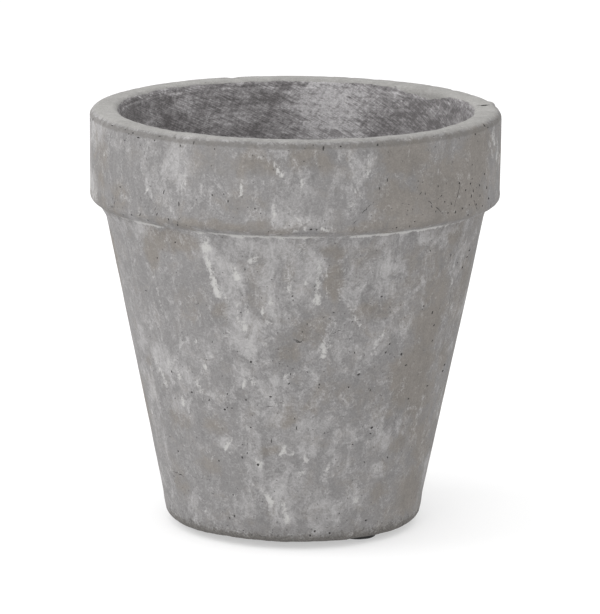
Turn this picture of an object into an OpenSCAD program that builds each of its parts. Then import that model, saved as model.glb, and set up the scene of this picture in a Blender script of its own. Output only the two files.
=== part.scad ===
// Round cast-concrete flower pot with a raised rim band, a brushed-on inner coat and three foot pads.
// Millimetres, +Z up. The origin is on the pot's axis, in the plane that the foot pads stand on.
// The pot's front faces -Y. Everything but the pads is a solid of revolution about Z.

/* [Pot] */
// Diameter over the rim band
rim_d = 200; // [180:1:240]
// Height from the surface that the pot stands on to the top of the rim
total_h = 206.5; // [190:0.5:240]
// Diameter that the outer wall would have at the underside, if its lower edge were sharp
base_d = 124; // [110:1:140]
// Radius of the rounded edge between the outer wall and the underside
base_edge_r = 5; // [1:0.5:8]

/* [Rim band] */
// Height of the band, from the crease under it to the top of the rim
band_h = 46.9; // [35:0.1:60]
// How far the band stands out from the wall at the crease
band_step = 6.6; // [4:0.1:10]
// Angle of the band's sloping underside, from the horizontal
band_slope = 33; // [25:1:60]
// Radius of the band's lower corner
band_corner_r = 4; // [2:0.5:7]
// Radius of the fillet in the crease under the band
crease_r = 2.6; // [0.5:0.1:4]
// Radius of the rim's outer top edge
rim_outer_edge_r = 4.6; // [2:0.1:6]
// Radius of the rim's inner top edge
rim_inner_edge_r = 4; // [2:0.1:6]

/* [Wall and floor] */
// Thickness of the wall below the band, square to its surface
wall_t = 16; // [10:0.1:18]
// Thickness of the floor
floor_t = 16; // [12:0.5:25]
// Radius of the fillet between the inner wall and the floor
floor_fillet_r = 12; // [4:0.5:20]

/* [Inner coat] */
// Thickness of the brushed-on sealing coat
coat_t = 0.6; // [0.4:0.1:1.5]
// Height over which the coat's upper edge thins out to nothing
coat_feather_h = 2.4; // [1:0.1:5]

/* [Foot pads] */
// Diameter of a foot pad
pad_d = 18; // [12:1:24]
// Thickness of a foot pad without its adhesive
pad_t = 2.7; // [1.5:0.1:4]
// Thickness of the adhesive film between a pad and the underside
adhesive_t = 0.3; // [0.2:0.1:0.6]
// How far the adhesive film stops short of the pad's edge
adhesive_inset = 0.5; // [0:0.1:2]
// Bevel round the pad's lower edge
pad_bevel = 0.4; // [0.1:0.1:0.8]
// Distance from the pot's axis to the middle of a pad
pad_circle_r = 45.6; // [35:0.1:48]
// Direction of the first pad, counter-clockwise from +X
first_pad_angle = -46; // [-180:1:180]

/* [Hidden] */
$fn = 180;
arc_steps = 8;
pad_count = 3;

rim_r = rim_d / 2;
base_z = pad_t + adhesive_t;
base_r = base_d / 2;
crease_z = total_h - band_h;
crease_wall_r = rim_r - band_step;
floor_z = base_z + floor_t;

// How far the wall leans out from the vertical
lean = atan2(crease_wall_r - base_r, crease_z - base_z);

// Radius of the surface that lies depth inside the outer wall's cone, at height z
function wall_r(z, depth) = base_r + (z - base_z) * tan(lean) - depth / cos(lean);

// Points along an arc in the radius-height plane, from angle from_a to to_a
function arc(centre, r, from_a, to_a) = [
    for (i = [0:arc_steps])
        let (a = from_a + (to_a - from_a) * i / arc_steps)
        centre + r * [cos(a), sin(a)]
];

// Rounded edge between the underside and the outer wall
function base_edge() =
    let (r = base_edge_r, x = base_r - r * (1 - sin(lean)) / cos(lean))
    arc([x, base_z + r], r, -90, -lean);

// Fillet in the crease between the outer wall and the band's sloping underside
function crease() =
    let (
        wall_a = -lean,
        slope_a = band_slope - 90,
        middle_a = (wall_a + slope_a) / 2,
        reach = crease_r / cos((wall_a - slope_a) / 2),
        centre = [crease_wall_r, crease_z] + reach * [cos(middle_a), sin(middle_a)]
    )
    arc(centre, crease_r, 180 + wall_a, 180 + slope_a);

// The band's rounded lower corner, from its sloping underside to its upright face
function band_corner() =
    let (
        r = band_corner_r,
        x = rim_r - r,
        z = crease_z + ((x - crease_wall_r) * sin(band_slope) + r) / cos(band_slope)
    )
    arc([x, z], r, band_slope - 90, 0);

// The rim's outer top edge
function rim_outer_edge() =
    arc([rim_r, total_h] - rim_outer_edge_r * [1, 1], rim_outer_edge_r, 0, 90);

// The rim's inner top edge, down to the inner wall
function rim_inner_edge() =
    let (r = rim_inner_edge_r, x = wall_r(total_h, wall_t) + r * (1 - sin(lean)) / cos(lean))
    arc([x, total_h - r], r, 90, 180 - lean);

// The fillet and the floor of the hollow, with a lining of thickness t on them
function hollow_floor(t) =
    let (
        r = floor_fillet_r - t,
        z = floor_z + t,
        x = wall_r(z, wall_t + t) - r * (1 - sin(lean)) / cos(lean)
    )
    concat(arc([x, z + r], r, -lean, -90), [[0, z]]);

// Height of the coat's upper edge, where the rim's inner edge ends
coat_top_z = rim_inner_edge()[arc_steps][1];

module revolved(outline) {
    rotate_extrude() polygon(outline);
}

module pot_casting() {
    color([0.58, 0.57, 0.56])
        revolved(concat(
            [[0, base_z]],
            base_edge(),
            crease(),
            band_corner(),
            rim_outer_edge(),
            rim_inner_edge(),
            hollow_floor(0)
        ));
}

module inner_sealer_coat() {
    feather_z = coat_top_z - coat_feather_h;
    lined = concat([[wall_r(feather_z, wall_t + coat_t), feather_z]], hollow_floor(coat_t));
    bare = concat([[wall_r(coat_top_z, wall_t), coat_top_z]], hollow_floor(0));
    color([0.45, 0.44, 0.45])
        revolved(concat(lined, [for (i = [len(bare) - 1:-1:0]) bare[i]]));
}

// Puts what it holds where pad number i is
module at_pad(i) {
    rotate(first_pad_angle + (i - 1) * 360 / pad_count) translate([pad_circle_r, 0, 0]) children();
}

module foot_pad(i) {
    r = pad_d / 2;
    color([0.09, 0.09, 0.10])
        at_pad(i)
            revolved([[0, 0], [r - pad_bevel, 0], [r, pad_bevel], [r, pad_t], [0, pad_t]]);
}

module pad_adhesive(i) {
    color([0.84, 0.82, 0.76])
        at_pad(i)
            translate([0, 0, pad_t])
                cylinder(d = pad_d - 2 * adhesive_inset, h = adhesive_t);
}

pot_casting();
inner_sealer_coat();
for (i = [1:pad_count]) {
    foot_pad(i);
    pad_adhesive(i);
}
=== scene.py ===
"""The looks of a round cast-concrete flower pot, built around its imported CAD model.

The pot stands on the plane z = 0 with its axis on Z and its front towards -Y. A direction round the pot is
an azimuth in degrees: 0 is the front, 90 is +X and 180 is the back. Lengths named in this file are in
millimetres and become metres when a mesh is made.
"""
import math
import bmesh
import bpy
import numpy as np
from mathutils import Euler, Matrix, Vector


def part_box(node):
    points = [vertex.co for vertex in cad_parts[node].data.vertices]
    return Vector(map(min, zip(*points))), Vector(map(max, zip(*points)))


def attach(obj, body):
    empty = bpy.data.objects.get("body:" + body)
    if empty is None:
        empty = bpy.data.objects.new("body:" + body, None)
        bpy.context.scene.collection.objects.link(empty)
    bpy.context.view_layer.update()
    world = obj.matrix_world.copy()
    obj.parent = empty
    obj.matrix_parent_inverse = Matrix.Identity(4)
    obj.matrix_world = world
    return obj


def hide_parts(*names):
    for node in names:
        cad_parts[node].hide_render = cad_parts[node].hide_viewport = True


MM = 0.001

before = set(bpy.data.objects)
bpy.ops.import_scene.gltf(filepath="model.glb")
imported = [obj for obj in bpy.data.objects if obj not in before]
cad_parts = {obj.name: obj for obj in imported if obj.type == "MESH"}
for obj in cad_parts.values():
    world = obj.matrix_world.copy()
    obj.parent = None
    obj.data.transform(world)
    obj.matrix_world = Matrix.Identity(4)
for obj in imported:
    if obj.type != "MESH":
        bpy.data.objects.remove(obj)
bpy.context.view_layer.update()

# -------------------- sizes, from the CAD model and set here
pot_low, pot_high = (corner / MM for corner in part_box("pot_casting"))
coat_low, coat_high = (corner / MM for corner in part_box("inner_sealer_coat"))
RIM_R, RIM_Z, BASE_Z = pot_high.x, pot_high.z, pot_low.z
FLOOR_Z = coat_low.z
BASE_R = 62.0
BASE_EDGE = 5.0
BAND_H = 46.9
BAND_STEP = 6.6
BAND_SLOPE = math.radians(33)
BAND_CORNER = 4.0
CREASE_FILLET = 2.6
RIM_OUTER_EDGE = 4.6
RIM_INNER_EDGE = 4.0
WALL_T = 16.0
COAT_T = 0.6
FLOOR_FILLET = 12.0
CREASE_Z = RIM_Z - BAND_H
RIM_EDGE_Z = RIM_Z - RIM_OUTER_EDGE
CREASE_R = RIM_R - BAND_STEP
LEAN = math.atan((CREASE_R - BASE_R) / (CREASE_Z - BASE_Z))


def wall_r(z, depth=0.0):
    """Radius of the surface that lies depth inside the outer wall's cone."""
    return BASE_R + (z - BASE_Z) * math.tan(LEAN) - depth / math.cos(LEAN)


# -------------------- noise and small helpers
def noise(points, cell, seed, octaves=1, gain=0.5):
    """Smooth value noise from -1 to 1 at points (n, 3), with features about cell across."""
    total, weight, scale = np.zeros(len(points)), 0.0, 1.0
    for octave in range(octaves):
        lattice = np.random.default_rng(seed + octave).random((32, 32, 32)) * 2 - 1
        q = points * (2 ** octave / cell)
        low = np.floor(q).astype(int)
        f = q - low
        f = f * f * (3 - 2 * f)
        value = np.zeros(len(points))
        for corner in np.ndindex(2, 2, 2):
            share = np.prod(np.where(corner, f, 1 - f), axis=1)
            value += share * lattice[tuple(((low + corner) % 32).T)]
        total += value * scale
        weight += scale
        scale *= gain
    return total / weight


def smooth_step(x, low, high):
    t = np.clip((x - low) / (high - low), 0, 1)
    return t * t * (3 - 2 * t)


def bell(x, middle, width):
    """1 at the middle, falling off smoothly on both sides."""
    return np.exp(-((x - middle) / width) ** 2)


def polar(azimuth, r, z):
    """Points from azimuth in degrees, radius and height."""
    a = np.radians(azimuth)
    return np.stack([r * np.sin(a), -r * np.cos(a), z + 0 * a], axis=-1)


def azimuth_of(points):
    return np.degrees(np.arctan2(points[:, 0], -points[:, 1]))


def turn_between(a, b):
    """Signed angle from b to a in degrees, from -180 to 180."""
    return (a - b + 180) % 360 - 180


def rounded(corners):
    """An outline through corners (r, z, rounding), each turned with an arc of that radius."""
    points = []
    for i, (r, z, rounding) in enumerate(corners):
        here = np.array([r, z])
        if not rounding:
            points.append(here)
            continue
        back, ahead = (np.array(corners[j][:2]) - here for j in (i - 1, i + 1))
        back, ahead = back / np.linalg.norm(back), ahead / np.linalg.norm(ahead)
        half = math.acos(float(back @ ahead)) / 2
        middle = (back + ahead) / np.linalg.norm(back + ahead)
        centre = here + middle * rounding / math.sin(half)
        start = here + back * rounding / math.tan(half) - centre
        end = here + ahead * rounding / math.tan(half) - centre
        sweep = math.pi - 2 * half
        steps = max(3, math.ceil(rounding * sweep / 0.9))
        for t in np.linspace(0, 1, steps + 1):
            arc = (start * math.sin((1 - t) * sweep) + end * math.sin(t * sweep)) / math.sin(sweep)
            points.append(centre + arc)
    return np.array(points)


def spaced(outline, spacing):
    """The outline with extra points, so that none lie further apart than spacing(r, z) says."""
    points = [outline[0]]
    for a, b in zip(outline[:-1], outline[1:]):
        count = math.ceil(np.linalg.norm(b - a) / spacing(*((a + b) / 2)))
        points += [a + (b - a) * (k + 1) / count for k in range(count)]
    return np.array(points)


def outline_normals(outline):
    along = np.gradient(outline, axis=0)
    normals = np.stack([along[:, 1], -along[:, 0]], axis=1)
    return normals / np.linalg.norm(normals, axis=1)[:, None]


def mesh_object(name, vertices, faces, smooth=True):
    mesh = bpy.data.meshes.new(name)
    mesh.from_pydata((np.asarray(vertices) * MM).tolist(), [], faces)
    mesh.shade_smooth() if smooth else mesh.shade_flat()
    thing = bpy.data.objects.new(name, mesh)
    bpy.context.scene.collection.objects.link(thing)
    return thing


def revolve(name, outline, segments, relief=None):
    """A closed mesh from an outline that starts and ends on the axis.

    relief(points, r, z) says how far each point moves outwards.
    """
    rings = outline[1:-1]
    azimuth = np.arange(segments) * 360 / segments
    r, a = np.meshgrid(rings[:, 0], azimuth, indexing="ij")
    z = np.repeat(rings[:, 1:], segments, axis=1)
    if relief is not None:
        flat = polar(a.ravel(), r.ravel(), z.ravel())
        push = relief(flat, r.ravel(), z.ravel()).reshape(r.shape)
        normal = outline_normals(outline)[1:-1]
        r = r + push * normal[:, :1]
        z = z + push * normal[:, 1:]
    vertices = polar(a.ravel(), r.ravel(), z.ravel()).tolist()
    vertices += [[0, 0, outline[0][1]], [0, 0, outline[-1][1]]]
    first, last = len(vertices) - 2, len(vertices) - 1
    faces = []
    for i in range(len(rings) - 1):
        for j in range(segments):
            k = (j + 1) % segments
            low, high = i * segments, (i + 1) * segments
            faces.append((low + j, low + k, high + k, high + j))
    top = (len(rings) - 1) * segments
    for j in range(segments):
        k = (j + 1) % segments
        faces.append((first, k, j))
        faces.append((last, top + j, top + k))
    return mesh_object(name, vertices, faces)


# -------------------- what is where on the outside
# Radii that turn degrees round the pot into millimetres, for the drips, the pores and the cracks.
DRIP_R = 80
PORE_R = 75
CRACK_R = 85
# Lime bloom that ran down and dried: azimuth and height of the tip, then of the top, width, strength.
DRIPS = [
    (-24.2, 129, -28.5, 154, 1.9, 1), (-21, 127, -22.5, 131, 1.5, 0.9), (-18.2, 117, -18, 127, 0.8, 0.7),
    (-17.5, 139, -19.2, 147, 1.8, 1), (-12.5, 148, -9, 151, 1.8, 0.8), (-15.8, 113, -16.5, 118, 1.9, 0.9),
    (-15.5, 108, -15.3, 110, 1.3, 0.7), (-22.7, 109, -20.5, 114, 1.3, 0.7),
    (-34.3, 104, -34.1, 106, 1.1, 0.8), (-48.2, 117, -49, 139, 1.4, 0.6), (-26.5, 153, -27.5, 160, 3, 0.7),
    (2.5, 153, 2.2, 157, 1.6, 0.8), (3.4, 137, 3.2, 140, 1.3, 0.7), (-1.5, 134, -2.2, 142, 2.1, 0.8),
    (7.4, 127, 7.6, 150, 1.6, 0.9), (10, 130, 9.6, 148, 1.4, 0.7), (6.2, 129, 6.6, 145, 1.2, 0.6),
    (14.9, 142.5, 14.9, 145, 0.9, 0.8), (9.8, 100, 9.4, 110, 1.3, 0.9), (10.8, 101, 13.2, 118, 0.8, 0.7),
    (9, 110, 11.6, 118, 0.8, 0.6), (21.6, 115, 17, 125, 0.7, 0.8), (24.6, 112, 21.8, 116, 0.7, 0.6),
    (27.5, 100, 29, 110, 2, 0.5), (30.4, 108.5, 31, 112, 1.3, 0.7), (59.8, 129, 59.3, 137, 2, 0.6),
    (63.5, 114, 63, 117, 2.2, 0.4), (-10, 122.5, -10, 125, 1.2, 0.9), (-7, 127, -7.2, 131, 1.5, 0.6),
    (-15, 123, -15, 127, 1.6, 0.6), (-2.6, 122, -4, 126, 1.1, 0.6), (-8, 117, -9, 121, 1.6, 0.6),
    (-9, 106, -10, 111, 1.8, 0.5), (-52.4, 78, -57, 91, 2.4, 0.8), (-44.2, 84, -45.5, 90, 1.7, 0.8),
    (-49.5, 88, -49, 92, 1.2, 0.6), (-38.9, 88, -39.4, 94, 1.2, 0.7), (-34.8, 79.5, -37, 86, 1.4, 0.7),
    (-44.3, 70, -44.2, 76, 1.6, 0.9), (-31.7, 91.5, -31.8, 95, 1.5, 0.8), (-17.9, 83.5, -17, 90, 1.1, 0.9),
    (-16.5, 86, -16, 88, 1.2, 0.6), (-14, 86, -15.2, 91, 1, 0.8), (-16.8, 79, -16.6, 80, 0.9, 0.8),
    (-4, 76.5, -4.2, 88, 2, 0.5), (-6.2, 76, -3.4, 76.3, 0.7, 0.7), (-3, 90.5, 0.2, 94, 0.9, 0.6),
    (0.2, 90.5, 0.4, 94, 0.7, 0.6), (-22.3, 64.3, -20.5, 65.5, 1, 0.6), (-18.2, 67, -18, 68, 0.8, 0.6),
    (-27, 51, -23.6, 57.5, 1.2, 0.9), (-40, 57.5, -45, 58.2, 0.7, 0.5), (-33.5, 45, -30.5, 48.5, 2.2, 0.6),
    (-13.6, 44, -15, 49, 1.3, 0.9), (-12.6, 44.5, -13.4, 44, 1, 0.8), (-4.7, 50, -3.2, 54.5, 1.1, 1),
    (-3.2, 51.5, -2.8, 54, 0.8, 0.7), (-0.4, 50.5, -0.6, 52, 0.8, 0.8), (5, 46.8, 4.6, 49.5, 0.9, 0.8),
    (10.6, 58.5, 11.2, 59.5, 1.2, 0.7), (13.4, 41.5, 14.4, 46.5, 1.3, 0.8), (4.2, 41, 0.5, 37, 1.7, 0.7),
    (-2, 34, 0.5, 38, 1.6, 0.6), (-15.8, 33.5, -15.8, 34.5, 1.4, 0.9), (-8.6, 25, -12, 31, 1.7, 0.9),
    (-2.4, 15.5, -4, 27, 2, 0.9), (-4.6, 21, -7.5, 27, 1.8, 0.5), (27.5, 24, 29.5, 27, 2, 0.5),
    (-40.5, 16, -40.5, 18, 1.6, 0.4), (36, 39.5, 31, 39.8, 2, 0.5), (-47.5, 11, -50.5, 19, 1.6, 0.4),
    (-42, 34.5, -41, 35, 1.8, 0.5), (-44, 177.5, -43.4, 179, 1.1, 0.9), (-65, 177, -65, 181, 1.5, 0.6),
    (-66, 189, -64.5, 191, 1.4, 0.5), (-14.4, 181, -14.3, 188, 0.9, 0.9),
    (-9.4, 198, -10.1, 200.5, 0.9, 0.8), (-3.8, 191, -6.4, 198, 0.9, 1), (1.8, 185, 1.6, 190, 1, 0.8),
    (16, 182, 15, 187.5, 0.9, 0.7), (19.8, 190, 19.6, 199, 1.7, 0.7), (18.2, 179, 18, 184, 1.6, 0.5),
    (55, 182, 53.6, 197, 1.5, 0.6), (-5.4, 172, -5, 176, 1.5, 0.7), (2.6, 165.5, 0.4, 171, 0.8, 0.8),
    (8.6, 164.4, 6, 166.5, 0.8, 0.9), (-0.5, 164.4, 3, 164.8, 0.6, 0.9), (15.3, 176.5, 17, 177.5, 0.8, 0.6),
    (-31, 181, -30, 196, 2.2, 0.5), (-48, 165, -45, 171, 1.2, 0.5),
]
# Broad pale areas: azimuth, height, half width in degrees, half height, strength.
PALE = [
    (-24, 157, 8, 6, 0.4), (-9, 156, 12, 6, 0.55), (-19, 138, 5, 16, 0.6), (-18, 120, 5, 12, 0.55),
    (-6, 128, 7, 12, 0.35), (-50, 156, 6, 6, 0.5), (-36, 100, 12, 7, 0.3), (-54, 91, 7, 11, 0.6),
    (-43, 85, 8, 8, 0.45), (30, 143, 5, 6, 0.6), (31, 157, 8, 5, 0.4), (37, 133, 3, 4, 0.3),
    (28, 104, 5, 9, 0.35), (52, 153, 3, 5, 0.3), (-3, 83, 4, 10, 0.25), (36, 54, 7, 6, 0.5),
    (46, 59, 5, 5, 0.35), (6, 66, 6, 6, 0.3), (-2, 33, 8, 9, 0.6), (5, 41, 5, 5, 0.4), (18, 42, 5, 7, 0.3),
    (35, 39, 7, 3, 0.5), (54, 31, 7, 6, 0.35), (27, 25, 6, 5, 0.35), (-27, 54, 5, 4, 0.4),
    (-48, 15, 5, 9, 0.35), (-28, 14, 9, 7, 0.2), (-33, 190, 6, 12, 0.6), (-42, 182, 4, 6, 0.4),
    (-66, 186, 4, 12, 0.15), (16, 188, 6, 12, 0.25), (2, 185, 5, 9, 0.3), (3, 168, 7, 4, 0.45),
    (-5, 172, 4, 6, 0.4), (54, 188, 3, 9, 0.3), (63, 99, 6, 8, 0.2), (71, 92, 4, 3, 0.5),
    (12, 52, 5, 5, 0.3), (-16, 32, 6, 6, 0.3), (0, 92, 4, 3, 0.35), (24, 60, 6, 6, 0.25),
    (-66, 60, 8, 30, 0.25), (-26, 150, 3, 8, 0.6), (-22, 128, 3, 12, 0.55), (6, 146, 4, 14, 0.6),
    (-5, 84, 4, 9, 0.6), (-18, 90, 3, 6, 0.5), (-14, 31, 4, 6, 0.5), (-4, 21, 3, 8, 0.5),
    (6, 56, 6, 8, 0.45), (-10, 104, 3, 6, 0.45), (27, 140, 8, 10, 0.4), (42, 155, 8, 5, 0.5),
    (58, 135, 4, 6, 0.4), (19, 195, 4, 6, 0.3), (-8, 201, 6, 3, 0.4), (-40, 180, 5, 7, 0.4),
    (-15, 44, 4, 10, 0.5), (0, 39, 5, 7, 0.5), (44, 138, 16, 16, 0.25), (-11, 78, 12, 40, 0.22),
    (12, 98, 10, 30, 0.18), (30, 66, 8, 24, 0.15), (-4, 140, 12, 18, 0.38), (18, 140, 8, 16, 0.3),
    (62, 140, 7, 16, 0.32), (30, 140, 10, 14, 0.45), (-16, 111, 9, 14, 0.6), (-6, 70, 6, 14, 0.35),
    (68, 112, 6, 16, 0.3), (14, 20, 10, 11, 0.38), (-4, 24, 8, 13, 0.5), (-46, 70, 9, 14, 0.3),
    (30, 118, 10, 16, 0.25), (8, 24, 12, 12, 0.25), (-19, 24, 6, 9, 0.35), (-65, 72, 5, 8, 0.4),
    (-65, 98, 6, 8, 0.45), (-48, 90, 5, 6, 0.4),
]
# Smooth, warmer and darker areas, in the same terms.
WARM = [
    (-42, 154, 9, 6, 0.8), (-49, 145, 4, 9, 0.8), (12, 153, 5, 4, 0.6), (12.5, 138, 3, 12, 0.6),
    (3, 113, 5, 7, 0.6), (-2, 104, 5, 8, 0.5), (-24, 121, 3, 6, 0.5), (26, 122, 7, 6, 0.5),
    (51, 110, 7, 12, 0.7), (46, 88, 11, 12, 0.8), (52, 74, 10, 10, 0.6), (57, 155, 4, 5, 0.5),
    (9, 57, 5, 3, 0.25), (-9, 52, 4, 5, 0.5), (14, 82, 8, 10, 0.35), (26, 75, 8, 10, 0.15),
    (-2, 69, 3, 7, 0.5), (5, 73, 5, 3, 0.3), (-35, 40, 7, 6, 0.3), (-48, 62, 8, 6, 0.35),
    (-30, 63, 6, 5, 0.3), (18, 32, 7, 6, 0.15), (60, 24, 10, 12, 0.6), (38, 28, 5, 8, 0.4),
    (64, 44, 9, 10, 0.35), (-9, 22, 3, 7, 0.4), (42, 138, 8, 12, 0.2), (20, 150, 6, 7, 0.25),
    (30, 196, 9, 10, 0.7), (45, 178, 15, 16, 0.6), (28, 176, 8, 13, 0.7), (60, 190, 9, 16, 0.6),
    (-10, 196, 6, 8, 0.55), (4, 198, 7, 7, 0.5), (-25, 196, 4, 10, 0.25), (-13, 176, 7, 6, 0.3),
    (-20, 165, 30, 3, 0.5), (35, 165, 30, 4, 0.5), (70, 120, 8, 20, 0.3), (-34, 126, 7, 10, 0.25),
    (57, 57, 8, 7, 0.3), (-72, 165, 20, 5, 0.5), (41, 82, 5, 17, 0.6), (52, 122, 8, 24, 0.3),
    (45, 50, 5, 5, 0.5), (60, 172, 6, 8, 0.5), (7, 116, 5, 10, 0.4), (-36, 154, 9, 5, 0.6),
    (-55, 28, 7, 9, 0.3), (-28, 16, 5, 4, 0.3), (-12, 132, 3, 24, 0.25), (62, 21, 9, 11, 0.6),
    (-70, 186, 8, 16, 0.4), (-2, 145, 2, 8, 0.35), (-56, 171, 6, 9, 0.35), (-62, 88, 4, 5, 0.4),
    (66, 92, 5, 7, 0.4),
]
# Single pores: azimuth, height, length, width, tilt in degrees to the right of upright.
PORES = [
    (-0.5, 131, 1.1, 0.8, 40), (-0.3, 129, 0.8, 0.6, 0), (-14.8, 143.5, 1.2, 0.6, 10),
    (-14.5, 97, 1.5, 1, 0), (12.5, 122.5, 1, 0.6, 80), (33.5, 104, 1.2, 0.8, 60), (32.4, 100, 1.4, 0.7, 30),
    (39.2, 97.8, 1.6, 1.3, 0), (51.2, 116, 1.9, 1.2, 10), (46, 120.6, 1, 0.9, 80), (45.6, 119, 0.7, 0.6, 0),
    (55.8, 143.5, 1.5, 1, 0), (44.8, 148.5, 1.3, 0.6, -40), (28.2, 128.8, 1.2, 0.9, 80),
    (53.5, 109, 1.4, 1, 60), (22.8, 90.2, 1.7, 1, 60), (8.9, 86.2, 1.1, 0.7, 0), (8.8, 84.6, 0.9, 0.6, 0),
    (19.5, 84, 1.1, 0.8, 0), (30.6, 61.7, 1.7, 1.3, 80), (30.3, 58.8, 1.1, 0.7, 80),
    (-39.2, 77.6, 1.3, 1, 80), (-31.7, 75.2, 1.7, 0.7, 20), (-25.5, 71.5, 1.3, 1, 80),
    (-22.6, 72.6, 0.9, 0.6, 80), (-24, 79.6, 1, 0.8, 0), (-17, 77.5, 1.3, 0.8, 0),
    (-15.8, 63.5, 0.7, 1.1, 0), (-17.8, 50, 1.2, 0.6, 20), (-20, 47.7, 1.1, 0.8, 80),
    (-30.3, 44.2, 1.1, 0.8, 0), (-8.1, 57.2, 2.6, 0.5, 5), (1.2, 64, 2.2, 0.5, 5), (0.5, 69, 1.1, 0.5, 0),
    (23.2, 54.3, 0.9, 0.6, 80), (40.3, 44.6, 1.4, 0.7, -40), (29.2, 44.2, 1.5, 0.5, -40),
    (-55.9, 176.5, 1, 1, 70), (-32.7, 174, 2.6, 0.7, 0), (-33.5, 163.4, 1.9, 0.9, 30),
    (-18, 177.3, 1.4, 0.7, 10), (-10.6, 174.5, 0.7, 0.8, 0), (-9, 172.5, 0.8, 0.6, 0),
    (-7, 163.6, 0.9, 0.6, 0), (-3.7, 162, 0.5, 1, 0), (-37.8, 178.5, 2.4, 0.6, 18),
    (7.5, 203.2, 2.4, 0.8, 8), (25.4, 187, 1.7, 0.5, 0), (23.1, 183.4, 1.6, 0.5, 10),
    (28.6, 163.8, 1, 0.8, 0), (32.8, 163.8, 2, 0.5, -15), (44.9, 173.2, 1, 0.8, -30),
    (50.9, 180.7, 1.2, 1.3, 0), (56.2, 179.2, 1.1, 1.1, 0), (57, 181.2, 0.8, 0.9, 0),
    (57.8, 175.3, 1.7, 0.8, -15), (56.8, 173, 1.8, 0.9, 20), (61.4, 177, 1.3, 1, 0),
    (56.9, 188, 1.1, 0.7, 20), (58.2, 202.4, 1, 1.3, 0), (55.8, 169, 0.9, 0.9, 0),
    (55.4, 164.3, 1.3, 1, -50), (-19.2, 180.6, 0.6, 0.8, 0), (-1, 91.8, 1.4, 0.5, 20),
    (4.6, 92.8, 1, 0.5, -30), (-48, 86, 1.6, 0.9, 0), (57, 77.3, 0.7, 1.6, 0), (46.5, 73.4, 0.8, 1.2, 0),
    (69, 84.6, 1.2, 2.4, 0), (68.5, 81.6, 1, 2.6, 0), (69.5, 142, 1, 2.6, 0), (68.6, 139, 0.7, 2.6, 0),
    (20.6, 101.5, 1.5, 0.5, -20), (4.2, 117, 1.2, 0.5, 0), (9.8, 9.8, 1.5, 1, 0), (7.8, 7.6, 1.4, 0.9, 0),
    (16.5, 8.4, 1, 1.1, 0), (-25.8, 16, 1.4, 0.8, 0), (-28.2, 14.6, 1, 0.7, 0), (33.6, 13, 1, 1.1, 0),
    (4.4, 165.2, 0.8, 1.3, 0), (5.9, 165, 0.7, 0.9, 0), (-46.8, 165.5, 1.9, 0.6, 35),
    (-28.1, 203.6, 2.4, 0.5, 0), (-50, 203.8, 0.6, 1.7, 0), (12.2, 204, 0.8, 0.9, 0),
    (22.5, 203.8, 0.8, 1.2, 0), (65, 205, 1.6, 1.4, 0), (40, 172, 1.6, 0.5, -30),
    (41.5, 169.4, 1.2, 0.6, 20), (43.5, 176.4, 1.4, 0.5, 60), (47.6, 171.6, 1.6, 0.6, -20),
    (49.4, 167.2, 1.3, 0.9, 0), (52.6, 168.2, 1.2, 0.8, 40), (46.3, 167.6, 1, 0.8, 0),
    (37.6, 178.6, 1.5, 0.5, -10), (42.2, 181.2, 1.1, 0.6, 0), (53.8, 176.6, 1.2, 0.9, 30),
    (59.6, 168.2, 1.2, 1, 0), (61.8, 171.8, 1.4, 0.8, 20), (63.5, 166.4, 1, 1.2, 0),
    (64.6, 181.6, 1.2, 1, 0), (66.4, 174.4, 1.6, 1.4, 0), (68.2, 168.6, 1.2, 1.8, 0),
    (-60.8, 204.6, 0.5, 2.2, 0), (-51.6, 203, 0.9, 0.7, 40), (-47.4, 202.2, 0.6, 1.9, 0),
    (-39.6, 204.6, 0.5, 1.6, 0), (-32.2, 201.4, 0.9, 0.6, 0), (-82, 201.5, 2, 2.6, 0),
    (-77, 203, 1.4, 1.8, 0), (-40.2, 167.4, 1.8, 0.6, 15), (-36.2, 165.8, 1.4, 0.6, -20),
    (-44.2, 163.4, 1, 0.9, 0), (-50.6, 164.4, 1.2, 0.8, 30), (-55.2, 163.2, 1.1, 1, 0),
    (-60.4, 165.6, 1.3, 0.9, 0), (42.2, 91.6, 0.7, 1.8, 0), (28, 81.4, 1.2, 0.6, 30),
    (54.4, 101, 1.6, 0.8, 40), (66, 134.6, 1, 1.8, 0),
]
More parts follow.
